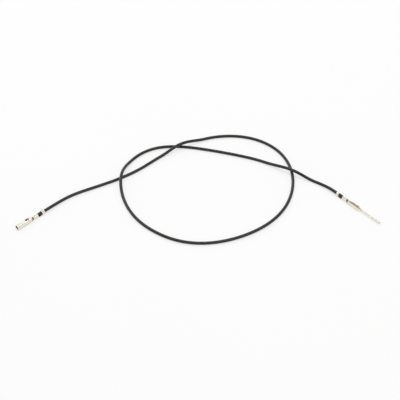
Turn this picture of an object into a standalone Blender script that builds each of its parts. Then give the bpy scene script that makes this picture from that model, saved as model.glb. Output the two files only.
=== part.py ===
"""Breadboard jumper wire, in metres, +Z up, lying on the plane z = 0.

A black insulated wire lies in one loose overhand knot. Seven tinned strands run through its whole
length. A socket contact is crimped on one end and a pin contact on the other. Each contact is one
stamped strip, folded up from a flat blank: the blank is a grid of small faces, folded across its
width to a section that changes along its length, and then given the strip's thickness.
"""

import math

import bpy
import numpy as np
from mathutils import Vector

MM = 0.001

# Wire
WIRE_DIAMETER = 1.10 * MM
INSULATION_WALL = 0.25 * MM
STRAND_DIAMETER = 0.16 * MM
OUTER_STRANDS = 6
STRAND_GAP = 0.015 * MM
LAY_LENGTH = 40 * MM
WIRE_STATIONS = 80
WIRE_SIDES = 8
STRAND_SIDES = 6

# Strip that both contacts are stamped from
STRIP = 0.20 * MM
CRIMP_CLEARANCE = 0.03 * MM
SEAM = 0.04 * MM

# Lengths along a contact, from the cut end of its strip, the same on both contacts
TAB_LENGTH = 0.3 * MM
WIRE_CRIMP_LENGTH = 1.1 * MM
WINDOW_LENGTH = 1.7 * MM
CORE_CRIMP_LENGTH = 1.9 * MM
STRIPPED_GAP = 0.4 * MM
BRUSH_LENGTH = 0.30 * MM
BRUSH_STAGGER = 0.07 * MM

# Channel between the crimps, and the closed crimp on the bare strands
CHANNEL_CORNER = 0.32 * MM
CORE_CRIMP_STEP = 0.20 * MM
CORE_CRIMP_FLAT = 0.12 * MM
CORE_CRIMP_BEND = 0.38 * MM
CORE_CRIMP_WALL = 0.36 * MM
CORE_CRIMP_CURL = 0.19 * MM
CORE_CRIMP_LIP = 0.04 * MM
CORE_CRIMP_FLARE = 0.05 * MM
CORE_CRIMP_FLARE_LENGTH = 0.38 * MM
NECK_FLARE_LENGTH = 0.30 * MM

# Socket contact
SOCKET_NECK_LENGTH = 0.9 * MM
SOCKET_LENGTH = 5.9 * MM
SOCKET_WIDTH = 1.5 * MM
SOCKET_HEIGHT = 1.6 * MM
SOCKET_CORNER = 0.2 * MM
LATCH_WINDOW_START = 0.9 * MM
LATCH_WINDOW_LENGTH = 1.3 * MM
TONGUE_TURN = 0.16 * MM
TONGUE_LENGTH = 4.2 * MM
TONGUE_GRIP = 0.04 * MM
TONGUE_ARCH = 160.0
TONGUE_STEPS = 6

# Pin contact
PIN_NECK_LENGTH = 0.7 * MM
CRADLE_LENGTH = 6.2 * MM
CRADLE_WIDTH = 1.5 * MM
CRADLE_WALL = 0.75 * MM
CRADLE_BACK_WALL = 0.38 * MM
CRADLE_CORNER = 0.2 * MM
CRADLE_RAMP_LENGTH = 1.6 * MM
CRADLE_TAPER_LENGTH = 2.2 * MM
PIN_SIDE = 0.64 * MM
PIN_LENGTH = 8.5 * MM
PIN_CORNER = 0.11 * MM
PIN_RISE = 0.30 * MM
PIN_TIP_LENGTH = 1.0 * MM
PIN_TIP_SHARE = 0.42

# Where each contact lies: the cut end of its strip, and the way it points, in degrees from +X
SOCKET_PLACE = (-52.0 * MM, -12.8 * MM)
SOCKET_HEADING = 225.0
PIN_PLACE = (48.2 * MM, -3.6 * MM)
PIN_HEADING = -49.0

# Route of the wire from the socket contact to the pin contact: x and y in millimetres, and whether
# it lies on the floor (0) or passes over another run of itself (1)
ROUTE = [
    (-45.2, -6.0, 0),
    (-36.8, -0.9, 0),
    (-26.7, 4.7, 0),
    (-19.9, 9.9, 0),
    (-13.2, 16.4, 0),
    (-6.0, 21.9, 1),
    (2.6, 26.4, 0),
    (12.3, 28.1, 0),
    (21.8, 25.8, 0),
    (29.3, 19.2, 0),
    (33.4, 7.4, 0),
    (32.9, -2.1, 0),
    (29.6, -11.4, 0),
    (23.7, -19.0, 0),
    (15.0, -24.9, 0),
    (5.4, -28.0, 0),
    (-4.6, -27.6, 0),
    (-13.4, -23.4, 0),
    (-20.5, -16.5, 0),
    (-25.3, -6.7, 0),
    (-26.7, 4.7, 1),
    (-23.1, 14.8, 0),
    (-15.5, 20.9, 0),
    (-6.0, 21.9, 0),
    (3.3, 20.2, 0),
    (13.0, 17.5, 0),
    (24.0, 13.2, 0),
    (33.4, 7.3, 1),
    (41.0, 2.7, 0),
]
CROSSING_GAP = 0.25 * MM
STRAIGHT_RUN = 1.5 * MM
SPAN_SAMPLES = 40

# How many faces make up each of the five stretches of a half section, from the middle of the
# floor outwards: floor, lower bend, wall, upper bend, roof
PIECES = (1, 3, 2, 4, 2)
FLOOR, LOWER_BEND, WALL, UPPER_BEND, ROOF = (sum(PIECES[: i + 1]) for i in range(5))

BLACK = (0.010, 0.010, 0.011, 1.0)
TIN = (0.80, 0.77, 0.71, 1.0)
TINNED_COPPER = (0.78, 0.72, 0.64, 1.0)

HALF_STRIP = STRIP / 2
WIRE_RADIUS = WIRE_DIAMETER / 2
CORE_RADIUS = 1.5 * STRAND_DIAMETER + STRAND_GAP
WIRE_CRIMP_RADIUS = WIRE_RADIUS + CRIMP_CLEARANCE + HALF_STRIP
CRIMP_AXIS_HEIGHT = HALF_STRIP + WIRE_CRIMP_RADIUS
CORE_FLOOR = HALF_STRIP + CORE_CRIMP_STEP
CORE_AXIS_HEIGHT = CORE_FLOOR + HALF_STRIP + CRIMP_CLEARANCE + CORE_RADIUS
WIRE_CRIMP_END = TAB_LENGTH + WIRE_CRIMP_LENGTH
CORE_CRIMP_START = WIRE_CRIMP_END + WINDOW_LENGTH
CORE_CRIMP_END = CORE_CRIMP_START + CORE_CRIMP_LENGTH
JACKET_END = CORE_CRIMP_START - STRIPPED_GAP


def clear_scene():
    for old in list(bpy.data.objects):
        bpy.data.objects.remove(old, do_unlink=True)


def material(name, colour, metallic, roughness):
    made = bpy.data.materials.new(name)
    made.use_nodes = True
    shader = made.node_tree.nodes["Principled BSDF"]
    shader.inputs["Base Color"].default_value = colour
    shader.inputs["Metallic"].default_value = metallic
    shader.inputs["Roughness"].default_value = roughness
    made.diffuse_color = colour
    return made


def add_object(name, data, finish):
    made = bpy.data.objects.new(name, data)
    bpy.context.scene.collection.objects.link(made)
    data.materials.append(finish)
    return made


def heading_vector(degrees):
    angle = math.radians(degrees)
    return np.array([math.cos(angle), math.sin(angle), 0.0])


def contact_point(place, degrees, along, height):
    """A point on the middle line of a contact that lies at place."""
    return np.array([*place, height]) + along * heading_vector(degrees)


def spline_slopes(t, points, first, last):
    """Slopes of the cubic spline through the points that leaves and arrives along two directions."""
    count = len(t)
    step = np.diff(t)
    matrix = np.zeros((count, count))
    right = np.zeros((count, points.shape[1]))
    matrix[0, 0] = matrix[-1, -1] = 1.0
    right[0] = first
    right[-1] = last
    for i in range(1, count - 1):
        matrix[i, i - 1] = step[i]
        matrix[i, i] = 2.0 * (step[i - 1] + step[i])
        matrix[i, i + 1] = step[i - 1]
        before = (points[i] - points[i - 1]) / step[i - 1]
        after = (points[i + 1] - points[i]) / step[i]
        right[i] = 3.0 * (step[i] * before + step[i - 1] * after)
    return np.linalg.solve(matrix, right)


def smooth_route():
    """The wire's middle line, finely sampled: straight in each contact, one smooth curve between."""
    start = contact_point(SOCKET_PLACE, SOCKET_HEADING, -STRAIGHT_RUN, CRIMP_AXIS_HEIGHT)
    end = contact_point(PIN_PLACE, PIN_HEADING, -STRAIGHT_RUN, CRIMP_AXIS_HEIGHT)
    rise = WIRE_DIAMETER + CROSSING_GAP
    between = [(x * MM, y * MM, WIRE_RADIUS + over * rise) for x, y, over in ROUTE]
    points = np.array([start, *between, end])
    t = np.concatenate([[0.0], np.cumsum(np.linalg.norm(np.diff(points[:, :2], axis=0), axis=1))])
    leaving = -heading_vector(SOCKET_HEADING)[:2]
    arriving = heading_vector(PIN_HEADING)[:2]
    slopes = spline_slopes(t, points[:, :2], leaving, arriving)
    sampled = [contact_point(SOCKET_PLACE, SOCKET_HEADING, JACKET_END, CRIMP_AXIS_HEIGHT)]
    for i in range(len(points) - 1):
        length = t[i + 1] - t[i]
        for u in np.linspace(0.0, 1.0, SPAN_SAMPLES, endpoint=False):
            near = (1 + 2 * u) * (1 - u) ** 2 * points[i, :2] + u * u * (3 - 2 * u) * points[i + 1, :2]
            turn = u * (1 - u) ** 2 * slopes[i] - u * u * (1 - u) * slopes[i + 1]
            ease = u * u * (3 - 2 * u)
            height = points[i, 2] + (points[i + 1, 2] - points[i, 2]) * ease
            sampled.append(np.array([*(near + length * turn), height]))
    sampled.append(end)
    sampled.append(contact_point(PIN_PLACE, PIN_HEADING, JACKET_END, CRIMP_AXIS_HEIGHT))
    return np.array(sampled)


def evenly_spaced(points, count):
    along = np.concatenate([[0.0], np.cumsum(np.linalg.norm(np.diff(points, axis=0), axis=1))])
    wanted = np.linspace(0.0, along[-1], count)
    return np.array([[np.interp(s, along, points[:, k]) for k in range(3)] for s in wanted])


def tube(name, points, radius, sides, finish, capped=True):
    """A round tube along straight spans between the points, with an even number of sides."""
    curve = bpy.data.curves.new(name, "CURVE")
    curve.dimensions = "3D"
    curve.bevel_depth = radius
    curve.bevel_resolution = sides // 2 - 2
    curve.use_fill_caps = capped
    spline = curve.splines.new("POLY")
    spline.points.add(len(points) - 1)
    for target, place in zip(spline.points, points):
        target.co = (*place, 1.0)
    return add_object(name, curve, finish)


def add_insulation(path, finish):
    """The jacket: a tube whose wall is turned inwards, so that its bore is open at both ends."""
    jacket = tube("insulation", path, WIRE_RADIUS, WIRE_SIDES, finish, capped=False)
    wall = jacket.modifiers.new("wall", "SOLIDIFY")
    wall.thickness = INSULATION_WALL
    wall.offset = -1.0
    wall.use_even_offset = True


def core_end(place, heading, brush):
    """The strands' middle line in one contact, from the jacket's end out to the cut ends."""
    stops = (
        (CORE_CRIMP_START, CORE_AXIS_HEIGHT),
        (CORE_CRIMP_END, CORE_AXIS_HEIGHT),
        (CORE_CRIMP_END + brush, CORE_AXIS_HEIGHT),
    )
    return [contact_point(place, heading, along, height) for along, height in stops]


def core_path(path, brush):
    at_socket = core_end(SOCKET_PLACE, SOCKET_HEADING, brush)
    at_pin = core_end(PIN_PLACE, PIN_HEADING, brush)
    return np.array([*reversed(at_socket), *path, *at_pin])


def cross_frames(path):
    """Two directions across the path at each point, carried along it without twist."""
    ahead = np.gradient(path, axis=0)
    ahead /= np.linalg.norm(ahead, axis=1)[:, None]
    side = np.cross(ahead[0], [0.0, 0.0, 1.0])
    frames = []
    for direction in ahead:
        side = side - direction * (side @ direction)
        side /= np.linalg.norm(side)
        frames.append((side, np.cross(direction, side)))
    return frames


def strand_path(path, place_in_ring):
    """The middle line of one strand that winds round the wire's middle line."""
    frames = cross_frames(path)
    along = np.concatenate([[0.0], np.cumsum(np.linalg.norm(np.diff(path, axis=0), axis=1))])
    ring_radius = STRAND_DIAMETER + STRAND_GAP
    points = []
    for centre, (side, up), s in zip(path, frames, along):
        angle = 2 * math.pi * (s / LAY_LENGTH + place_in_ring / OUTER_STRANDS)
        points.append(centre + ring_radius * (math.cos(angle) * side + math.sin(angle) * up))
    return np.array(points)


def add_strands(path, finish):
    for number in range(OUTER_STRANDS + 1):
        middle = core_path(path, BRUSH_LENGTH + BRUSH_STAGGER * (number % 3))
        points = strand_path(middle, number) if number < OUTER_STRANDS else middle
        tube(f"strand_{number + 1}", points, STRAND_DIAMETER / 2, STRAND_SIDES, finish)


def half_section(base, stretches):
    """Points (y, z) of half a folded section, from the middle of its floor to the edge of its wing.

    Each stretch is its length and the degrees that the strip turns over it.
    """
    y, z, heading = 0.0, base, 0.0
    points = [(y, z)]
    for (length, turn), pieces in zip(stretches, PIECES):
        part_turn = math.radians(turn) / pieces
        for _ in range(pieces):
            heading += part_turn / 2
            y += math.cos(heading) * length / pieces
            z += math.sin(heading) * length / pieces
            heading += part_turn / 2
            points.append((y, z))
    return points


def wire_crimp_section():
    """Round the jacket, with the two wings meeting at the top."""
    total = math.pi * WIRE_CRIMP_RADIUS - SEAM / 2
    lengths = [total * pieces / sum(PIECES) for pieces in PIECES]
    return half_section(HALF_STRIP, [(s, math.degrees(s / WIRE_CRIMP_RADIUS)) for s in lengths])


def channel_section(base, half_width, corner, wall):
    bend = corner * math.pi / 2
    return half_section(base, [(half_width - corner, 0), (bend, 90), (wall, 0), (bend, 0), (bend, 0)])


def core_crimp_section(flare=0.0):
    """Both wings rolled over and down on the strands."""
    bend = CORE_CRIMP_BEND + flare
    stretches = [
        (CORE_CRIMP_FLAT, 0),
        (bend * math.pi / 2, 90),
        (CORE_CRIMP_WALL + flare, 0),
        ((CORE_CRIMP_CURL + flare / 2) * math.pi, 180),
        (CORE_CRIMP_LIP, 0),
    ]
    return half_section(CORE_FLOOR - flare, stretches)


def box_section(base, half_width, height, corner, seam):
    bend = corner * math.pi / 2
    flat = half_width - corner
    wall = height - 2 * corner
    return half_section(base, [(flat, 0), (bend, 90), (wall, 0), (bend, 90), (flat - seam / 2, 0)])


class Blank:
    """A folded strip: sections along x, and for each stretch between two how far the metal reaches."""

    def __init__(self):
        self.sections = []
        self.reaches = []
        self.tongue = []
        self.thin_share = {}

    def begin(self, x, section):
        self.sections.append((x, section))

    def to(self, x, section, reach, thin_share=1.0):
        """Carries the strip on to a section at x, with this many faces of each half in between."""
        self.sections.append((x, section))
        self.reaches.append(reach)
        self.thin_share[len(self.sections) - 1] = thin_share

    def build(self, name, place, heading, finish):
        made = {}
        places = []

        def vertex(station, side, index):
            key = (station, side if index else 0, index)
            if key not in made:
                x, section = self.sections[station]
                y, z = section[index]
                made[key] = len(places)
                places.append((x, side * y, z))
            return made[key]

        faces = []
        for station, reach in enumerate(self.reaches):
            for index in range(reach):
                for side in (1, -1):
                    corners = [(0, index), (0, index + 1), (1, index + 1), (1, index)]
                    faces.append([vertex(station + ahead, side, i) for ahead, i in corners[::side]])
        faces += self.tongue_faces(places, vertex)
        mesh = bpy.data.meshes.new(name)
        mesh.from_pydata([Vector(p) for p in places], [], faces)
        mesh.validate()
        contact = add_object(name, mesh, finish)
        contact.location = (*place, 0.0)
        contact.rotation_euler = (0.0, 0.0, math.radians(heading))
        self.add_thickness(contact, made)
        mesh.shade_smooth()
        mesh.set_sharp_from_angle(angle=math.radians(35))
        return contact

    def tongue_faces(self, places, vertex):
        """The floor carried on past the last section, along a line of (x, z) points."""
        faces = []
        last = len(self.sections) - 1
        row = [vertex(last, side, index) for side, index in ((1, FLOOR), (1, 0), (-1, FLOOR))]
        for x, z in self.tongue:
            new_row = []
            for old in row:
                new_row.append(len(places))
                places.append((x, places[old][1], z))
            for i in range(2):
                faces.append([row[i + 1], row[i], new_row[i], new_row[i + 1]])
            row = new_row
        return faces

    def add_thickness(self, contact, made):
        group = contact.vertex_groups.new(name="strip_share")
        group.add(list(range(len(contact.data.vertices))), 1.0, "REPLACE")
        for (station, _, _), number in made.items():
            group.add([number], self.thin_share.get(station, 1.0), "REPLACE")
        strip = contact.modifiers.new("strip", "SOLIDIFY")
        strip.thickness = STRIP
        strip.offset = 0.0
        strip.use_even_offset = True
        strip.vertex_group = group.name


def crimped_end():
    """The stretch that both contacts share: tab, crimp on the jacket, window, crimp on the strands."""
    wrap = wire_crimp_section()
    channel = channel_section(HALF_STRIP, WIRE_CRIMP_RADIUS, CHANNEL_CORNER, CHANNEL_CORNER)
    blank = Blank()
    blank.begin(0.0, wrap)
    blank.to(TAB_LENGTH, wrap, FLOOR)
    blank.to(WIRE_CRIMP_END, wrap, ROOF)
    blank.to(WIRE_CRIMP_END + CHANNEL_CORNER, channel, LOWER_BEND)
    blank.to(JACKET_END, channel, LOWER_BEND)
    blank.to(CORE_CRIMP_START, core_crimp_section(CORE_CRIMP_FLARE), LOWER_BEND)
    blank.to(CORE_CRIMP_START + CORE_CRIMP_FLARE_LENGTH, core_crimp_section(), ROOF)
    blank.to(CORE_CRIMP_END, core_crimp_section(), ROOF)
    blank.to(CORE_CRIMP_END + NECK_FLARE_LENGTH, channel, LOWER_BEND)
    return blank


def add_socket_contact(finish):
    """The contact with a box that a square pin slides into, and a spring tongue folded back inside."""
    half_width = SOCKET_WIDTH / 2 - HALF_STRIP
    height = SOCKET_HEIGHT - STRIP
    box = box_section(HALF_STRIP, half_width, height, SOCKET_CORNER, SEAM)
    back = CORE_CRIMP_END + SOCKET_NECK_LENGTH
    front = back + SOCKET_LENGTH
    latch = back + LATCH_WINDOW_START
    blank = crimped_end()
    blank.to(back, box, LOWER_BEND)
    blank.to(latch, box, ROOF)
    blank.to(latch + LATCH_WINDOW_LENGTH, box, UPPER_BEND)
    blank.to(front, box, ROOF)

    turn_centre = HALF_STRIP + TONGUE_TURN
    for degrees in (45, 90, 135, 180):
        ahead = TONGUE_TURN * math.sin(math.radians(degrees))
        below = TONGUE_TURN * math.cos(math.radians(degrees))
        blank.tongue.append((front + ahead, turn_centre - below))
    low = turn_centre + TONGUE_TURN
    ceiling = height
    crest = ceiling - PIN_SIDE + TONGUE_GRIP - HALF_STRIP
    for step in range(1, TONGUE_STEPS + 1):
        share = step / TONGUE_STEPS
        climb = math.sin(math.radians(TONGUE_ARCH) * share)
        blank.tongue.append((front - share * TONGUE_LENGTH, low + climb * (crest - low)))
    return blank.build("female_terminal", SOCKET_PLACE, SOCKET_HEADING, finish)


def add_pin_contact(finish):
    """The contact whose strip runs through an open cradle and closes into a square pin."""
    half_width = CRADLE_WIDTH / 2 - HALF_STRIP
    pin_half = PIN_SIDE / 2 - HALF_STRIP
    pin_base = HALF_STRIP + PIN_RISE
    back = CORE_CRIMP_END + PIN_NECK_LENGTH
    front = back + CRADLE_LENGTH
    tip = front + PIN_LENGTH
    cradle = channel_section(HALF_STRIP, half_width, CRADLE_CORNER, CRADLE_WALL)
    low_cradle = channel_section(HALF_STRIP, half_width, CRADLE_CORNER, CRADLE_BACK_WALL)
    pin = box_section(pin_base, pin_half, 2 * pin_half, PIN_CORNER, SEAM)
    tip_half = pin_half * PIN_TIP_SHARE
    tip_base = pin_base + pin_half - tip_half
    tip_corner = PIN_CORNER * PIN_TIP_SHARE
    tip_seam = SEAM * PIN_TIP_SHARE
    tip_section = box_section(tip_base, tip_half, 2 * tip_half, tip_corner, tip_seam)
    blank = crimped_end()
    blank.to(back, low_cradle, LOWER_BEND)
    blank.to(back + CRADLE_RAMP_LENGTH, cradle, WALL)
    blank.to(front - CRADLE_TAPER_LENGTH, cradle, WALL)
    blank.to(front, pin, WALL)
    blank.to(tip - PIN_TIP_LENGTH, pin, ROOF)
    blank.to(tip, tip_section, ROOF, PIN_TIP_SHARE)
    return blank.build("male_terminal", PIN_PLACE, PIN_HEADING, finish)


def main():
    clear_scene()
    plastic = material("black_plastic", BLACK, 0.0, 0.45)
    tin = material("tin_plate", TIN, 1.0, 0.28)
    core = material("tinned_copper", TINNED_COPPER, 1.0, 0.35)
    path = evenly_spaced(smooth_route(), WIRE_STATIONS)
    add_insulation(path, plastic)
    add_strands(path, core)
    add_socket_contact(tin)
    add_pin_contact(tin)


main()
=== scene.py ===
"""Looks of the breadboard jumper wire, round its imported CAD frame, in metres, +Z up.

The jacket is a tube swept along the wire's route, which is repeated from the part's source, with
seven twisted strands inside it. Each contact is a stamped strip: a fine grid in the flat, with the
corners of its cut edges rounded, folded along its length and then given its thickness.
"""

import math

import bpy
import numpy as np
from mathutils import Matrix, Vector


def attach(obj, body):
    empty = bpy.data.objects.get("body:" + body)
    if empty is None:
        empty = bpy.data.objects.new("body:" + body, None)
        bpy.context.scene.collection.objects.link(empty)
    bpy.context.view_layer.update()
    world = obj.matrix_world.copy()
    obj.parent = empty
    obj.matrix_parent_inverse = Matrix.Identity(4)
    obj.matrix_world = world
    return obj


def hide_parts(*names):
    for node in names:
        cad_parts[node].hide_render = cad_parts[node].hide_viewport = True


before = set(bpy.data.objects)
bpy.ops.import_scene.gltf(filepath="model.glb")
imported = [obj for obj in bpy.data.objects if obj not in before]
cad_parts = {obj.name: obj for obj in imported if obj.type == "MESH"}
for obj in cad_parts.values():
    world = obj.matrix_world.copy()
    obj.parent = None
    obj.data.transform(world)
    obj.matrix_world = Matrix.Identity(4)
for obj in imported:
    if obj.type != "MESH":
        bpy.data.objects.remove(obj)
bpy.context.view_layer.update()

MM = 0.001

# Camera: the photo's viewing angle, with the middle of the frame on this point of the floor
CAMERA_TARGET = (0.9 * MM, -6.4 * MM, 0.0)
CAMERA_ELEVATION = 42.0
CAMERA_DISTANCE = 383.14 * MM
CAMERA_LENS = 100.0
CAMERA_SENSOR = 36.0

# Wire
WIRE_RADIUS = 0.55 * MM
BORE_RADIUS = 0.30 * MM
WIRE_STATIONS = 760
WIRE_SIDES = 24
CUT_ROUNDING = 0.06 * MM
SHARP_ANGLE = 50.0

# Where each crimp squeezes the jacket, it swells a little beside it
CRIMP_BULGE = 0.022 * MM
BULGE_GAP = 0.25 * MM
BULGE_REACH_BEHIND = 0.22 * MM
BULGE_REACH_WINDOW = 0.25 * MM

# Strands: six round one, splayed like a brush where they leave the crimp
STRAND_RADIUS = 0.08 * MM
STRAND_RING = 0.175 * MM
OUTER_STRANDS = 6
STRAND_LAY = 20.0 * MM
STRAND_STATIONS = 430
CORE_STATIONS = 2640
BARE_LENGTH = 3.2 * MM
BARE_STATIONS = 30
STRAND_SIDES = 10
STRAND_ROUNDING = 0.02 * MM
STRAND_END_SHARE = 0.72
BRUSH_LENGTH = 0.30 * MM
BRUSH_STAGGER = 0.07 * MM
BRUSH_SPREAD = 0.16

# Lengths along a contact, from the cut end of its strip
TAB_END = 0.3 * MM
WIRE_CRIMP_END = 1.4 * MM
JACKET_END = 2.7 * MM
CORE_CRIMP_START = 3.1 * MM
CORE_CRIMP_END = 5.0 * MM
CRIMP_AXIS_HEIGHT = 0.78 * MM
CORE_AXIS_HEIGHT = 0.685 * MM
STRAIGHT_RUN = 1.5 * MM
CORE_EASE_STEPS = 12
CORE_STRAIGHT_STEPS = 19

# Where each contact lies: the cut end of its strip, and the way it points, in degrees from +X
SOCKET_PLACE = (-52.0 * MM, -12.8 * MM)
SOCKET_HEADING = 225.0
PIN_PLACE = (48.2 * MM, -3.6 * MM)
PIN_HEADING = -49.0

# The wire's route: x and y in metres, and 1 where it passes over another run of itself
ROUTE = [
    (-0.0452, -0.0060, 0),
    (-0.0368, -0.0009, 0),
    (-0.0267, 0.0047, 0),
    (-0.0199, 0.0099, 0),
    (-0.0132, 0.0164, 0),
    (-0.0060, 0.0219, 1),
    (0.0026, 0.0264, 0),
    (0.0123, 0.0281, 0),
    (0.0218, 0.0258, 0),
    (0.0293, 0.0192, 0),
    (0.0334, 0.0074, 0),
    (0.0329, -0.0021, 0),
    (0.0296, -0.0114, 0),
    (0.0237, -0.0190, 0),
    (0.0150, -0.0249, 0),
    (0.0054, -0.0280, 0),
    (-0.0046, -0.0276, 0),
    (-0.0134, -0.0234, 0),
    (-0.0205, -0.0165, 0),
    (-0.0253, -0.0067, 0),
    (-0.0267, 0.0047, 1),
    (-0.0231, 0.0148, 0),
    (-0.0155, 0.0209, 0),
    (-0.0060, 0.0219, 0),
    (0.0033, 0.0202, 0),
    (0.0130, 0.0175, 0),
    (0.0240, 0.0132, 0),
    (0.0334, 0.0073, 1),
    (0.0410, 0.0027, 0),
]
CROSSING_RISE = 1.35 * MM
SPAN_SAMPLES = 80

# Strip that both contacts are folded from. A half section has five stretches, from the middle of
# the floor outwards, made of this many pieces each: floor, lower bend, wall, upper bend, roof
STRIP = 0.20 * MM
HALF_STRIP = STRIP / 2
PIECES = (1, 3, 2, 4, 2)
FLOOR, LOWER_BEND, WALL, UPPER_BEND, ROOF = (sum(PIECES[: i + 1]) for i in range(5))
FINE = 3
GRID_STEP = 0.11 * MM
EDGE_ROUNDING = 0.028 * MM
CORNER_PASSES = 3
SEAM = 0.04 * MM

# The flat strip's coordinates for its material, in millimetres: the width of one piece of the half
# section, the tongue's half width, and how far the tongue's pattern lies from the strip's own
PIECE_MM = 0.2
TONGUE_HALF_MM = 0.6
TONGUE_SHIFT_MM = 5.0

# The crimped end of both contacts
WIRE_CRIMP_RADIUS = 0.68 * MM
WIRE_CRIMP_RAMP = 0.32 * MM
CHANNEL_CORNER = 0.32 * MM
CHANNEL_WALL = 0.32 * MM
CORE_FLOOR = 0.3 * MM
CORE_FLAT = 0.12 * MM
CORE_BEND = 0.38 * MM
CORE_WALL = 0.36 * MM
CORE_CURL = 0.19 * MM
CORE_LIP = 0.04 * MM
CORE_FLARE = 0.05 * MM
CORE_FLARE_LENGTH = 0.38 * MM
CORE_RAMP = 0.30 * MM
BOX_HALF_WIDTH = 0.65 * MM
BOX_CORNER = 0.2 * MM

# Socket contact
SOCKET_NECK = 0.9 * MM
SOCKET_LENGTH = 5.9 * MM
SOCKET_HEIGHT = 1.4 * MM
LATCH_START = 0.9 * MM
LATCH_LENGTH = 1.3 * MM
TONGUE_TURN = 0.16 * MM
TONGUE_TURN_STEP = 15
TONGUE_LENGTH = 4.2 * MM
TONGUE_STEPS = 30
TONGUE_ARCH = 160.0
TONGUE_PINCH = 0.04 * MM

# Pin contact
PIN_NECK = 0.7 * MM
CRADLE_LENGTH = 6.2 * MM
CRADLE_WALL = 0.75 * MM
CRADLE_BACK_WALL = 0.38 * MM
CRADLE_RISE = 1.6 * MM
CRADLE_TAPER = 2.2 * MM
PIN_SIDE = 0.64 * MM
PIN_HALF = 0.22 * MM
PIN_BASE = HALF_STRIP + 0.30 * MM
PIN_CORNER = 0.11 * MM
PIN_LENGTH = 8.5 * MM
TIP_LENGTH = 1.0 * MM
TIP_SHARE = 0.42

# Colours
JACKET_BLACK = (0.0085, 0.008, 0.0078, 1)
JACKET_SOFT_BLACK = (0.0155, 0.0145, 0.0135, 1)
JACKET_GREY = (0.024, 0.022, 0.021, 1)
SCUFF_GREY = (0.052, 0.050, 0.048, 1)
DUST = (0.17, 0.16, 0.15, 1)
TIN_LIGHT = (0.89, 0.855, 0.765, 1)
TIN_GREY = (0.77, 0.72, 0.61, 1)
TIN_DULL = (0.62, 0.56, 0.455, 1)
# Painted shade, mixed into the tin where other metal is near: brown in its folds, dark in its crevices
PAINTED_SHADE_BROWN = (0.50, 0.42, 0.31, 1)
PAINTED_SHADE_DARK = (0.17, 0.13, 0.09, 1)
STRAND_LIGHT = (0.80, 0.76, 0.69, 1)
STRAND_DULL = (0.66, 0.58, 0.48, 1)
COPPER = (0.62, 0.36, 0.22, 1)
FLOOR_WHITE = (0.975, 0.975, 0.975, 1)
FLOOR_BRIGHT_WHITE = (0.995, 0.995, 0.99, 1)
WHITE = (1.0, 1.0, 1.0, 1.0)

# Floor: a little below the lowest metal, and this share of it plain white for the camera
FLOOR_HALF = 2.5
FLOOR_DROP = 0.02 * MM
FLOOR_GLOW = 0.65

# Light: how strong the world is for the object, and how bright the room's ceiling and the side
# behind the camera are in reflections
WORLD_LIGHT = 0.49
ROOM_CEILING = 0.38
ROOM_FRONT = 0.7


def add_camera():
    data = bpy.data.cameras.new("camera")
    data.lens = CAMERA_LENS
    data.sensor_width = CAMERA_SENSOR
    camera = bpy.data.objects.new("camera", data)
    bpy.context.scene.collection.objects.link(camera)
    elevation = math.radians(CAMERA_ELEVATION)
    back = Vector((0.0, -math.cos(elevation), math.sin(elevation)))
    camera.location = Vector(CAMERA_TARGET) + back * CAMERA_DISTANCE
    camera.rotation_euler = back.to_track_quat("Z", "Y").to_euler()
    bpy.context.scene.camera = camera


def add_mesh(name, points, faces, finish, attribute=None, values=None):
    mesh = bpy.data.meshes.new(name)
    mesh.from_pydata(np.asarray(points, float).tolist(), [], faces)
    mesh.materials.append(finish)
    mesh.shade_smooth()
    if attribute:
        layer = mesh.attributes.new(attribute, "FLOAT_VECTOR", "POINT")
        layer.data.foreach_set("vector", np.asarray(values, np.float32).ravel())
    made = bpy.data.objects.new(name, mesh)
    bpy.context.scene.collection.objects.link(made)
    return made


def lengths_along(points):
    return np.concatenate([[0.0], np.cumsum(np.linalg.norm(np.diff(points, axis=0), axis=1))])


def heading_vector(degrees):
    angle = math.radians(degrees)
    return np.array([math.cos(angle), math.sin(angle), 0.0])


def contact_point(place, degrees, along, height):
    return np.array([*place, height]) + along * heading_vector(degrees)


def spline_slopes(t, points, first, last):
    """The slope at each point of the smooth curve that starts and ends with the given slopes."""
    count = len(t)
    step = np.diff(t)
    matrix = np.zeros((count, count))
    right = np.zeros((count, points.shape[1]))
    matrix[0, 0] = matrix[-1, -1] = 1.0
    right[0] = first
    right[-1] = last
    for i in range(1, count - 1):
        matrix[i, i - 1] = step[i]
        matrix[i, i] = 2.0 * (step[i - 1] + step[i])
        matrix[i, i + 1] = step[i - 1]
        before = (points[i] - points[i - 1]) / step[i - 1]
        after = (points[i + 1] - points[i]) / step[i]
        right[i] = 3.0 * (step[i] * before + step[i - 1] * after)
    return np.linalg.solve(matrix, right)


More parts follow.
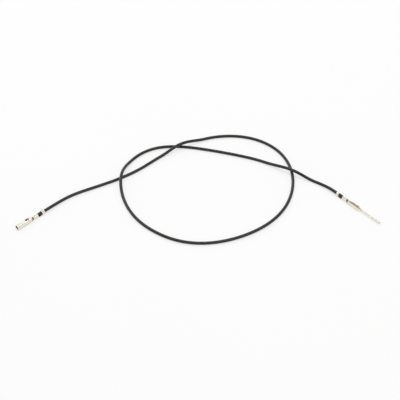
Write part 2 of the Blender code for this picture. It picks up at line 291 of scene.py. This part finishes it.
def smooth_route():
    """The wire's middle line, finely sampled: straight in each contact, one smooth curve between."""
    start = contact_point(SOCKET_PLACE, SOCKET_HEADING, -STRAIGHT_RUN, CRIMP_AXIS_HEIGHT)
    end = contact_point(PIN_PLACE, PIN_HEADING, -STRAIGHT_RUN, CRIMP_AXIS_HEIGHT)
    between = [(x, y, WIRE_RADIUS + over * CROSSING_RISE) for x, y, over in ROUTE]
    points = np.array([start, *between, end])
    t = lengths_along(points[:, :2])
    leaving = -heading_vector(SOCKET_HEADING)[:2]
    arriving = heading_vector(PIN_HEADING)[:2]
    slopes = spline_slopes(t, points[:, :2], leaving, arriving)
    sampled = [contact_point(SOCKET_PLACE, SOCKET_HEADING, JACKET_END, CRIMP_AXIS_HEIGHT)]
    for i in range(len(points) - 1):
        length = t[i + 1] - t[i]
        for u in np.linspace(0.0, 1.0, SPAN_SAMPLES, endpoint=False):
            ease = u * u * (3 - 2 * u)
            near = (1 + 2 * u) * (1 - u) ** 2 * points[i, :2] + ease * points[i + 1, :2]
            turn = u * (1 - u) ** 2 * slopes[i] - u * u * (1 - u) * slopes[i + 1]
            height = points[i, 2] + (points[i + 1, 2] - points[i, 2]) * ease
            sampled.append(np.array([*(near + length * turn), height]))
    sampled.append(end)
    sampled.append(contact_point(PIN_PLACE, PIN_HEADING, JACKET_END, CRIMP_AXIS_HEIGHT))
    return np.array(sampled)


def sample(along, values, wanted):
    return np.stack([np.interp(wanted, along, values[:, k]) for k in range(values.shape[1])], axis=1)


class Line:
    """A middle line with two directions across it, carried along without twist."""

    def __init__(self, points, count):
        along = lengths_along(points)
        self.along = np.linspace(0.0, along[-1], count)
        self.points = sample(along, points, self.along)
        self.length = along[-1]
        ahead = np.gradient(self.points, axis=0)
        self.ahead = ahead / np.linalg.norm(ahead, axis=1)[:, None]
        side = np.cross(self.ahead[0], [0.0, 0.0, 1.0])
        sides = []
        for direction in self.ahead:
            side = side - direction * (side @ direction)
            side /= np.linalg.norm(side)
            sides.append(side)
        self.side = np.array(sides)
        self.up = np.cross(self.ahead, self.side)

    def at(self, wanted):
        """Points and directions at these lengths along the line."""
        wanted = np.asarray(wanted, float)
        return [sample(self.along, v, wanted) for v in (self.points, self.side, self.up)]


def ring_faces(rings, sides, closed=False):
    faces = []
    for i in range(rings if closed else rings - 1):
        a, b = i * sides, (i + 1) % rings * sides
        for k in range(sides):
            m = (k + 1) % sides
            faces.append((a + k, a + m, b + m, b + k))
    return faces


def rings(line, along, radii, sides):
    """Points of the rings round a line, and the same points with the line pulled straight, in mm."""
    centre, side, up = line.at(along)
    angle = np.linspace(0.0, 2 * math.pi, sides, endpoint=False)
    cos, sin = np.cos(angle)[None, :, None], np.sin(angle)[None, :, None]
    radii = np.asarray(radii, float)
    out = cos * side[:, None, :] + sin * up[:, None, :]
    points = centre[:, None, :] + radii[:, None, None] * out
    straight = np.empty_like(points)
    straight[..., 0] = np.asarray(along)[:, None]
    straight[..., 1] = radii[:, None] * cos[..., 0]
    straight[..., 2] = radii[:, None] * sin[..., 0]
    return points.reshape(-1, 3), straight.reshape(-1, 3) / MM


def add_jacket(line, finish):
    """The jacket: outside, a rounded lip at each cut end, and the bore, in one closed skin."""
    length = line.length
    outer = np.linspace(CUT_ROUNDING, length - CUT_ROUNDING, WIRE_STATIONS)
    inner = np.linspace(length, 0.0, WIRE_STATIONS)
    lip = np.radians([30.0, 60.0, 90.0])
    inset = CUT_ROUNDING * (1 - np.cos(lip))
    out = CUT_ROUNDING * np.sin(lip)
    from_end = np.minimum(outer, length - outer)
    window = JACKET_END - WIRE_CRIMP_END
    behind = JACKET_END - TAB_END
    bulge = np.exp(-(((from_end - behind - BULGE_GAP) / BULGE_REACH_BEHIND) ** 2))
    bulge += np.exp(-(((from_end - window + BULGE_GAP) / BULGE_REACH_WINDOW) ** 2))
    along = [outer, length - CUT_ROUNDING + out, inner, (CUT_ROUNDING - out)[::-1]]
    radii = [
        WIRE_RADIUS + CRIMP_BULGE * bulge,
        WIRE_RADIUS - inset,
        np.full(WIRE_STATIONS, BORE_RADIUS),
        (WIRE_RADIUS - inset)[::-1],
    ]
    along, radii = np.concatenate(along), np.concatenate(radii)
    points, straight = rings(line, along, radii, WIRE_SIDES)
    faces = ring_faces(len(along), WIRE_SIDES, closed=True)
    jacket = add_mesh("wire_jacket", points, faces, finish, "straight_mm", straight)
    jacket.data.set_sharp_from_angle(angle=math.radians(SHARP_ANGLE))
    return jacket


def core_end(place, heading, brush):
    """The core's middle line in one contact: eased down from the jacket's bore to the crimp."""
    drop = CRIMP_AXIS_HEIGHT - CORE_AXIS_HEIGHT
    points = []
    for share in np.linspace(0.0, 1.0, CORE_EASE_STEPS + 1)[1:]:
        ease = share * share * (3 - 2 * share)
        along = JACKET_END + share * (CORE_CRIMP_START - JACKET_END)
        points.append(contact_point(place, heading, along, CRIMP_AXIS_HEIGHT - drop * ease))
    for along in np.linspace(CORE_CRIMP_START, CORE_CRIMP_END + brush, CORE_STRAIGHT_STEPS + 1)[1:]:
        points.append(contact_point(place, heading, along, CORE_AXIS_HEIGHT))
    return points


def add_strand(number, route, finish):
    """One strand, wound round the core's middle line, or the straight one in its middle. Its rings
    lie closer together over the bare ends, where the strands bend down into the crimp."""
    brush = BRUSH_LENGTH + BRUSH_STAGGER * (number % 3)
    at_socket = core_end(SOCKET_PLACE, SOCKET_HEADING, brush)
    at_pin = core_end(PIN_PLACE, PIN_HEADING, brush)
    middle = Line(np.array([*reversed(at_socket), *route, *at_pin]), CORE_STATIONS)
    from_end = np.minimum(middle.along, middle.length - middle.along)
    spread = BRUSH_SPREAD * np.clip(brush - from_end, 0.0, None)
    ring = STRAND_RING + spread if number < OUTER_STRANDS else np.zeros_like(spread)
    angle = 2 * math.pi * (middle.along / STRAND_LAY + number / OUTER_STRANDS)
    cos, sin = np.cos(angle)[:, None], np.sin(angle)[:, None]
    wound = middle.points + ring[:, None] * (cos * middle.side + sin * middle.up)
    line = Line(wound, CORE_STATIONS)
    length = line.length
    bare = np.linspace(STRAND_ROUNDING, BARE_LENGTH, BARE_STATIONS)
    covered = np.linspace(BARE_LENGTH, length - BARE_LENGTH, STRAND_STATIONS)[1:-1]
    along = np.concatenate([[0.0], bare, covered, length - bare[::-1], [length]])
    radii = np.full(len(along), STRAND_RADIUS)
    radii[[0, -1]] *= STRAND_END_SHARE
    points, straight = rings(line, along, radii, STRAND_SIDES)
    faces = ring_faces(len(along), STRAND_SIDES)
    last = (len(along) - 1) * STRAND_SIDES
    faces.append(tuple(reversed(range(STRAND_SIDES))))
    faces.append(tuple(range(last, last + STRAND_SIDES)))
    strand = add_mesh(f"strand_wound_{number + 1}", points, faces, finish, "straight_mm", straight)
    strand.data.set_sharp_from_angle(angle=math.radians(SHARP_ANGLE))
    return strand


def section(base, stretches):
    """A half section, from the height of its floor and the length and turn of each stretch."""
    return base, [(length, math.radians(turn)) for length, turn in stretches]


def section_point(made, q):
    """The point (y, z) of a half section at q, which counts its pieces from the middle outwards."""
    base, stretches = made
    y, z, heading = 0.0, base, 0.0
    for (length, turn), pieces in zip(stretches, PIECES):
        share = min(max(q / pieces, 0.0), 1.0)
        if abs(turn) < 1e-9:
            y += math.cos(heading) * length * share
            z += math.sin(heading) * length * share
        else:
            radius = length / turn
            after = heading + turn * share
            y += radius * (math.sin(after) - math.sin(heading))
            z += radius * (math.cos(heading) - math.cos(after))
            heading = after
        q -= pieces
        if q <= 0:
            break
    return y, z


def wire_crimp_section():
    """The crimp on the jacket: a round tube with a seam on top."""
    total = math.pi * WIRE_CRIMP_RADIUS - SEAM / 2
    lengths = [total * pieces / sum(PIECES) for pieces in PIECES]
    return section(HALF_STRIP, [(s, math.degrees(s / WIRE_CRIMP_RADIUS)) for s in lengths])


def channel_section(half_width, corner, wall):
    """A floor with an upright wall on each side; the last two stretches carry the wall on."""
    bend = corner * math.pi / 2
    stretches = [(half_width - corner, 0), (bend, 90), (wall, 0), (bend, 0), (bend, 0)]
    return section(HALF_STRIP, stretches)


def core_crimp_section(flare=0.0):
    """The crimp on the strands: both edges curl over and down into the middle, wider by flare."""
    stretches = [
        (CORE_FLAT, 0),
        ((CORE_BEND + flare) * math.pi / 2, 90),
        (CORE_WALL + flare, 0),
        ((CORE_CURL + flare / 2) * math.pi, 180),
        (CORE_LIP, 0),
    ]
    return section(CORE_FLOOR - flare, stretches)


def box_section(base, half_width, height, corner, seam):
    """A closed box with a seam along the middle of its roof."""
    bend = corner * math.pi / 2
    flat = half_width - corner
    wall = height - 2 * corner
    return section(base, [(flat, 0), (bend, 90), (wall, 0), (bend, 90), (flat - seam / 2, 0)])


def cell_corners(i, j):
    return (i, j), (i + 1, j), (i + 1, j + 1), (i, j + 1)


def near_turn(near, beside):
    """True within two grid steps of a corner of the cut edge."""
    pairs = [near] + [beside[n] for n in near if len(beside[n]) == 2]
    return any(a[0] != b[0] and a[1] != b[1] for a, b in pairs)


def rounded_blank(xs, cells):
    """The flat grid's corners, with the corners of its cut edges rounded off."""
    edges = {}
    for cell in cells:
        ring = cell_corners(*cell)
        for a, b in zip(ring, ring[1:] + ring[:1]):
            key = (a, b) if a < b else (b, a)
            edges[key] = edges.get(key, 0) + 1
    flat = {c: (xs[c[0]], c[1] / FINE) for edge in edges for c in edge}
    beside = {}
    for (a, b), uses in edges.items():
        if uses == 1:
            beside.setdefault(a, []).append(b)
            beside.setdefault(b, []).append(a)
    for _ in range(CORNER_PASSES):
        moved = {}
        for corner, near in beside.items():
            if len(near) == 2 and near_turn(near, beside):
                a, b = near
                x = (2 * flat[corner][0] + flat[a][0] + flat[b][0]) / 4
                q = (2 * flat[corner][1] + flat[a][1] + flat[b][1]) / 4
                moved[corner] = (x, q)
        flat.update(moved)
    return flat


class Strip:
    """A stamped strip: sections along x, how far the metal reaches out between each two, the share
    of the full thickness at each section, and the points (x, z) of a tongue on its front edge."""

    def __init__(self):
        self.keys = []
        self.reaches = []
        self.shares = []
        self.tongue = []

    def begin(self, x, made):
        self.keys.append((x, made))
        self.shares.append(1.0)

    def to(self, x, made, reach, share=1.0):
        self.keys.append((x, made))
        self.reaches.append(reach)
        self.shares.append(share)

    def fold(self, x, q):
        """Where the point x, q of the flat strip lies once folded: (x, y, z)."""
        side = -1 if q < 0 else 1
        for (x0, before), (x1, after) in zip(self.keys, self.keys[1:]):
            if x <= x1 or x1 == self.keys[-1][0]:
                break
        share = min(max((x - x0) / (x1 - x0), 0.0), 1.0)
        share = share * share * (3 - 2 * share)
        y0, z0 = section_point(before, abs(q))
        y1, z1 = section_point(after, abs(q))
        return x, side * (y0 + (y1 - y0) * share), z0 + (z1 - z0) * share

    def build(self, name, place, heading, finish):
        """The folded strip as a piece of the scene, laid at place and pointing along heading."""
        xs, reach = [self.keys[0][0]], []
        for (x0, _), (x1, _), out in zip(self.keys, self.keys[1:], self.reaches):
            steps = max(2, round((x1 - x0) / GRID_STEP))
            xs += [x0 + (x1 - x0) * (i + 1) / steps for i in range(steps)]
            reach += [out * FINE] * steps
        cells = {(i, j) for i, out in enumerate(reach) for j in range(-out, out)}
        flat = rounded_blank(xs, cells)
        number = {corner: n for n, corner in enumerate(sorted(flat))}
        points = [self.fold(*flat[corner]) for corner in sorted(flat)]
        values = [(flat[c][0] / MM, flat[c][1] * PIECE_MM, 0.0) for c in sorted(flat)]
        faces = [[number[c] for c in cell_corners(i, j)] for i, j in sorted(cells)]
        front = [number[len(reach), j] for j in range(-FLOOR * FINE, FLOOR * FINE + 1)]
        self.add_tongue(front, points, values, faces)
        contact = add_mesh(name, points, faces, finish, "flat_mm", values)
        self.thicken(contact, flat, number)
        contact.location = (*place, 0.0)
        contact.rotation_euler = (0.0, 0.0, math.radians(heading))
        return contact

    def add_tongue(self, row, points, values, faces):
        """The floor's front edge carried on through the tongue's points."""
        ys = [points[n][1] for n in row]
        half = max(ys)
        for x, z in self.tongue:
            new_row = [len(points) + k for k in range(len(ys))]
            points.extend((x, y, z) for y in ys)
            values.extend((x / MM, y / half * TONGUE_HALF_MM, TONGUE_SHIFT_MM) for y in ys)
            for a, b, c, d in zip(row, new_row, new_row[1:], row[1:]):
                faces.append([a, b, c, d])
            row = new_row

    def thicken(self, contact, flat, number):
        """Gives the folded sheet its thickness, thinner where a section's share says so."""
        group = contact.vertex_groups.new(name="strip_share")
        group.add(list(range(len(contact.data.vertices))), 1.0, "REPLACE")
        key_x = [x for x, _ in self.keys]
        for corner, n in number.items():
            share = float(np.interp(flat[corner][0], key_x, self.shares))
            if share < 1.0:
                group.add([n], share, "REPLACE")
        strip = contact.modifiers.new("strip", "SOLIDIFY")
        strip.thickness = STRIP
        strip.offset = 0.0
        strip.use_even_offset = True
        strip.vertex_group = group.name
        edge = contact.modifiers.new("edge", "BEVEL")
        edge.width = EDGE_ROUNDING
        edge.segments = 2
        edge.limit_method = "ANGLE"
        edge.angle_limit = math.radians(60)
        edge.harden_normals = True


def crimped_end():
    """The stretch that both contacts share: tab, crimp on the jacket, window, crimp on the strands."""
    wrap = wire_crimp_section()
    channel = channel_section(WIRE_CRIMP_RADIUS, CHANNEL_CORNER, CHANNEL_WALL)
    strip = Strip()
    strip.begin(0.0, wrap)
    strip.to(TAB_END, wrap, FLOOR)
    strip.to(WIRE_CRIMP_END, wrap, ROOF)
    strip.to(WIRE_CRIMP_END + WIRE_CRIMP_RAMP, channel, LOWER_BEND)
    strip.to(JACKET_END, channel, LOWER_BEND)
    strip.to(CORE_CRIMP_START, core_crimp_section(CORE_FLARE), LOWER_BEND)
    strip.to(CORE_CRIMP_START + CORE_FLARE_LENGTH, core_crimp_section(), ROOF)
    strip.to(CORE_CRIMP_END, core_crimp_section(), ROOF)
    strip.to(CORE_CRIMP_END + CORE_RAMP, channel, LOWER_BEND)
    return strip


def add_socket_contact(finish):
    """A box with a latch window in its roof, and a spring tongue turned in at its mouth."""
    back = CORE_CRIMP_END + SOCKET_NECK
    front = back + SOCKET_LENGTH
    latch = back + LATCH_START
    box = box_section(HALF_STRIP, BOX_HALF_WIDTH, SOCKET_HEIGHT, BOX_CORNER, SEAM)
    strip = crimped_end()
    strip.to(back, box, LOWER_BEND)
    strip.to(latch, box, ROOF)
    strip.to(latch + LATCH_LENGTH, box, UPPER_BEND)
    strip.to(front, box, ROOF)
    middle = HALF_STRIP + TONGUE_TURN
    for degrees in range(TONGUE_TURN_STEP, 181, TONGUE_TURN_STEP):
        angle = math.radians(degrees)
        reach = TONGUE_TURN * math.sin(angle)
        strip.tongue.append((front + reach, middle - TONGUE_TURN * math.cos(angle)))
    low = middle + TONGUE_TURN
    crest = SOCKET_HEIGHT - PIN_SIDE + TONGUE_PINCH - HALF_STRIP
    for step in range(1, TONGUE_STEPS + 1):
        share = step / TONGUE_STEPS
        climb = math.sin(math.radians(TONGUE_ARCH) * share)
        strip.tongue.append((front - share * TONGUE_LENGTH, low + climb * (crest - low)))
    return strip.build("socket_contact", SOCKET_PLACE, SOCKET_HEADING, finish)


def add_pin_contact(finish):
    """An open cradle that narrows into a square pin with a tapered tip."""
    back = CORE_CRIMP_END + PIN_NECK
    front = back + CRADLE_LENGTH
    tip = front + PIN_LENGTH
    cradle = channel_section(BOX_HALF_WIDTH, BOX_CORNER, CRADLE_WALL)
    low_cradle = channel_section(BOX_HALF_WIDTH, BOX_CORNER, CRADLE_BACK_WALL)
    pin = box_section(PIN_BASE, PIN_HALF, 2 * PIN_HALF, PIN_CORNER, SEAM)
    tip_half = PIN_HALF * TIP_SHARE
    tip_base = PIN_BASE + PIN_HALF - tip_half
    tip_corner = PIN_CORNER * TIP_SHARE
    tip_section = box_section(tip_base, tip_half, 2 * tip_half, tip_corner, SEAM * TIP_SHARE)
    strip = crimped_end()
    strip.to(back, low_cradle, LOWER_BEND)
    strip.to(back + CRADLE_RISE, cradle, WALL)
    strip.to(front - CRADLE_TAPER, cradle, WALL)
    strip.to(front, pin, WALL)
    strip.to(tip - TIP_LENGTH, pin, ROOF)
    strip.to(tip, tip_section, ROOF, TIP_SHARE)
    return strip.build("pin_contact", PIN_PLACE, PIN_HEADING, finish)


class Graph:
    """Short names for making the nodes of a material, or of the world."""

    def __init__(self, name=None, owner=None):
        self.material = owner or bpy.data.materials.new(name)
        self.material.use_nodes = True
        self.tree = self.material.node_tree
        self.shader = self.tree.nodes.get("Principled BSDF")

    def math(self, operation, a, b):
        return self.add("ShaderNodeMath", {"operation": operation}, i0=a, i1=b).outputs[0]

    def larger(self, a, b):
        return self.math("MAXIMUM", a, b)

    def scaled(self, a, b):
        return self.math("MULTIPLY", a, b)

    def sum(self, a, b):
        return self.math("ADD", a, b)

    def add(self, kind, settings=None, **inputs):
        """A new node, with its inputs given by name, or by number as i0, i1 and so on."""
        made = self.tree.nodes.new(kind)
        for key, value in (settings or {}).items():
            setattr(made, key, value)
        for key, value in inputs.items():
            by_number = key[0] == "i" and key[1:].isdigit()
            self.put(made.inputs[int(key[1:]) if by_number else key.replace("_", " ")], value)
        return made

    def put(self, socket, value):
        if isinstance(value, bpy.types.NodeSocket):
            self.tree.links.new(value, socket)
        else:
            socket.default_value = value

    def places(self, attribute, scale=(1.0, 1.0, 1.0)):
        """The named attribute's coordinates, in millimetres, stretched by scale."""
        read = self.add("ShaderNodeAttribute", {"attribute_name": attribute})
        return self.add("ShaderNodeMapping", Vector=read.outputs["Vector"], Scale=scale).outputs[0]

    def noise(self, places, scale, detail=3.0, roughness=0.5):
        inputs = {"Vector": places, "Scale": scale, "Detail": detail, "Roughness": roughness}
        return self.add("ShaderNodeTexNoise", **inputs).outputs["Fac"]

    def openness(self, distance):
        """1 in the open, and towards 0 where other metal is nearer than distance."""
        return self.add("ShaderNodeAmbientOcclusion", {"samples": 8}, Distance=distance).outputs["AO"]

    def between(self, value, low, high, out_low, out_high):
        settings = {"clamp": True}
        inputs = {"i0": value, "i1": low, "i2": high, "i3": out_low, "i4": out_high}
        return self.add("ShaderNodeMapRange", settings, **inputs).outputs[0]

    def blend(self, share, first, second):
        settings = {"data_type": "RGBA"}
        made = self.add("ShaderNodeMix", settings, i0=share, i6=first, i7=second)
        return made.outputs[2]

    def bump(self, height, distance, strength, normal=None):
        inputs = {"Height": height, "Distance": distance, "Strength": strength}
        if normal is not None:
            inputs["Normal"] = normal
        return self.add("ShaderNodeBump", **inputs).outputs[0]

    def surface(self, **inputs):
        for key, value in inputs.items():
            self.put(self.shader.inputs[key.replace("_", " ")], value)
        return self.material


def black_plastic():
    """Extruded black PVC: fine lines along the wire, dull scuffs, and a few pale specks of dust."""
    g = Graph("black_plastic")
    straight = g.places("straight_mm")
    cloud = g.between(g.noise(straight, 0.22, 4.0, 0.6), 0.3, 0.7, 0.0, 1.0)
    mottle = g.noise(g.places("straight_mm", (0.35, 1.0, 1.0)), 2.4, 4.0, 0.6)
    grain = g.noise(straight, 14.0, 4.0, 0.65)
    lines = g.noise(g.places("straight_mm", (0.04, 6.5, 6.5)), 1.0, 4.0, 0.6)
    patches = g.noise(g.places("straight_mm", (0.5, 2.6, 2.6)), 1.6, 5.0, 0.7)
    scuff = g.between(patches, 0.60, 0.70, 0.0, 1.0)
    specks = g.between(g.noise(straight, 5.5, 2.0, 0.5), 0.715, 0.755, 0.0, 1.0)
    base = g.blend(cloud, JACKET_BLACK, JACKET_SOFT_BLACK)
    base = g.blend(g.between(mottle, 0.4, 0.75, 0.0, 0.6), base, JACKET_GREY)
    base = g.blend(g.scaled(scuff, 0.7), base, SCUFF_GREY)
    base = g.blend(g.scaled(specks, 0.8), base, DUST)
    smooth = g.between(mottle, 0.3, 0.7, 0.20, 0.38)
    roughness = g.sum(smooth, g.scaled(scuff, 0.18))
    normal = g.bump(lines, 0.045 * MM, 0.7)
    normal = g.bump(grain, 0.016 * MM, 0.6, normal)
    normal = g.bump(scuff, 0.008 * MM, 0.4, normal)
    return g.surface(Base_Color=base, Roughness=roughness, Normal=normal)


def tin_plate():
    """Tin over copper alloy: warm pale metal with rolling lines, and painted shade, brown to dark, in
    its folds and crevices.
    """
    g = Graph("tin_plate")
    flat = g.places("flat_mm")
    cloud = g.between(g.noise(flat, 0.9, 5.0, 0.65), 0.38, 0.68, 0.0, 1.0)
    fine = g.noise(flat, 4.5, 4.0, 0.6)
    lines = g.noise(g.places("flat_mm", (0.5, 14.0, 3.0)), 1.0, 4.0, 0.6)
    grain = g.noise(flat, 16.0, 3.0)
    marks = g.noise(g.places("flat_mm", (9.0, 0.7, 2.0)), 1.3, 2.0, 0.5)
    scratch = g.between(marks, 0.66, 0.72, 0.0, 1.0)
    base = g.blend(cloud, TIN_LIGHT, TIN_GREY)
    base = g.blend(g.between(fine, 0.5, 0.75, 0.0, 0.45), base, TIN_DULL)
    # Painted shade: brown where other metal lies within 1.6 mm, dark where it lies within 0.45 mm
    base = g.blend(g.between(g.openness(1.6 * MM), 0.3, 0.75, 0.5, 0.0), base, PAINTED_SHADE_BROWN)
    base = g.blend(g.between(g.openness(0.45 * MM), 0.25, 0.75, 0.85, 0.0), base, PAINTED_SHADE_DARK)
    polish = g.between(lines, 0.3, 0.7, 0.16, 0.28)
    roughness = g.sum(polish, g.between(fine, 0.5, 0.75, 0.0, 0.12))
    normal = g.bump(lines, 0.008 * MM, 0.5)
    normal = g.bump(grain, 0.005 * MM, 0.45, normal)
    normal = g.bump(scratch, 0.006 * MM, 0.35, normal)
    return g.surface(Base_Color=base, Roughness=roughness, Normal=normal, Metallic=1.0)


def tinned_strand():
    """Tinned copper: silvery, with drawing lines and a little copper where the tin is worn."""
    g = Graph("tinned_strand")
    straight = g.places("straight_mm")
    cloud = g.between(g.noise(straight, 2.6, 4.0, 0.6), 0.42, 0.7, 0.0, 1.0)
    worn = g.between(g.noise(straight, 6.0, 3.0, 0.6), 0.62, 0.72, 0.0, 0.7)
    lines = g.noise(g.places("straight_mm", (1.0, 30.0, 30.0)), 1.0, 3.0)
    base = g.blend(cloud, STRAND_LIGHT, STRAND_DULL)
    base = g.blend(worn, base, COPPER)
    roughness = g.between(lines, 0.3, 0.7, 0.20, 0.36)
    normal = g.bump(lines, 0.003 * MM, 0.5)
    return g.surface(Base_Color=base, Roughness=roughness, Normal=normal, Metallic=1.0)


def add_floor():
    """A white floor that keeps the wire's shadow, and that the camera and the metal see as white."""
    g = Graph("white_floor")
    tone = g.noise(g.add("ShaderNodeTexCoord").outputs["Object"], 9.0, 3.0)
    base = g.blend(g.between(tone, 0.3, 0.7, 0.0, 1.0), FLOOR_WHITE, FLOOR_BRIGHT_WHITE)
    g.surface(Base_Color=base, Roughness=0.9, Specular_IOR_Level=0.2)
    rays = g.add("ShaderNodeLightPath").outputs
    seen = g.larger(rays["Is Camera Ray"], g.larger(rays["Is Glossy Ray"], rays["Is Transmission Ray"]))
    glow = g.add("ShaderNodeEmission", Color=WHITE, Strength=1.0).outputs[0]
    share = g.scaled(seen, FLOOR_GLOW)
    mixed = g.add("ShaderNodeMixShader", i0=share, i1=g.shader.outputs[0], i2=glow)
    g.put(g.tree.nodes["Material Output"].inputs["Surface"], mixed.outputs[0])
    side = FLOOR_HALF
    corners = [(-side, -side, 0.0), (side, -side, 0.0), (side, side, 0.0), (-side, side, 0.0)]
    floor = add_mesh("floor", corners, [(0, 1, 2, 3)], g.material)
    floor.location = (0.0, 0.0, -FLOOR_DROP)


def add_light(name, place, size, power):
    """A flat lamp, aimed at the middle of the wire."""
    data = bpy.data.lights.new(name, "AREA")
    data.shape = "RECTANGLE"
    data.size, data.size_y = size
    data.energy = power
    light = bpy.data.objects.new(name, data)
    bpy.context.scene.collection.objects.link(light)
    light.location = place
    light.rotation_euler = Vector(place).to_track_quat("Z", "Y").to_euler()


def add_studio():
    """A soft box behind on the left, a narrow strip for the sheen along the wire, a weak fill lamp,
    and a pale room, which shiny metal sees darker towards its ceiling and behind the camera."""
    add_light("soft_box", (-0.25, 0.45, 0.75), (1.7, 1.4), 5.2)
    add_light("strip_light", (0.02, 0.25, 0.85), (0.4, 0.08), 1.0)
    add_light("fill", (0.5, -0.5, 0.6), (0.9, 0.9), 1.5)
    world = bpy.data.worlds.new("studio")
    world.use_nodes = True
    bpy.context.scene.world = world
    g = Graph(owner=world)
    rays = g.add("ShaderNodeLightPath").outputs
    direction = g.add("ShaderNodeTexCoord").outputs["Generated"]
    way = g.add("ShaderNodeSeparateXYZ", Vector=direction).outputs
    ceiling = g.between(way["Z"], 0.1, 0.6, 1.0, ROOM_CEILING)
    front = g.between(way["Y"], -0.55, 0.15, ROOM_FRONT, 1.0)
    room = g.scaled(ceiling, front)
    shiny = g.larger(rays["Is Glossy Ray"], rays["Is Transmission Ray"])
    level = g.sum(WORLD_LIGHT, g.scaled(shiny, g.sum(room, -WORLD_LIGHT)))
    level = g.sum(level, g.scaled(rays["Is Camera Ray"], 1.0 - WORLD_LIGHT))
    background = g.tree.nodes["Background"]
    g.put(background.inputs["Color"], WHITE)
    g.put(background.inputs["Strength"], level)


bpy.context.scene.view_settings.view_transform = "Standard"
add_camera()
plastic, tin, core = black_plastic(), tin_plate(), tinned_strand()
route = smooth_route()
wire = Line(route, 2 * WIRE_STATIONS)
jacket = add_jacket(wire, plastic)
socket_contact = add_socket_contact(tin)
pin_contact = add_pin_contact(tin)
strands = [add_strand(number, route, core) for number in range(OUTER_STRANDS + 1)]

for piece in [jacket, socket_contact, pin_contact, *strands]:
    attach(piece, "root")
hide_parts("insulation")
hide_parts("female_terminal")
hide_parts("male_terminal")
for number, strand in enumerate(strands, 1):
    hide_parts(f"strand_{number}")

add_floor()
add_studio()
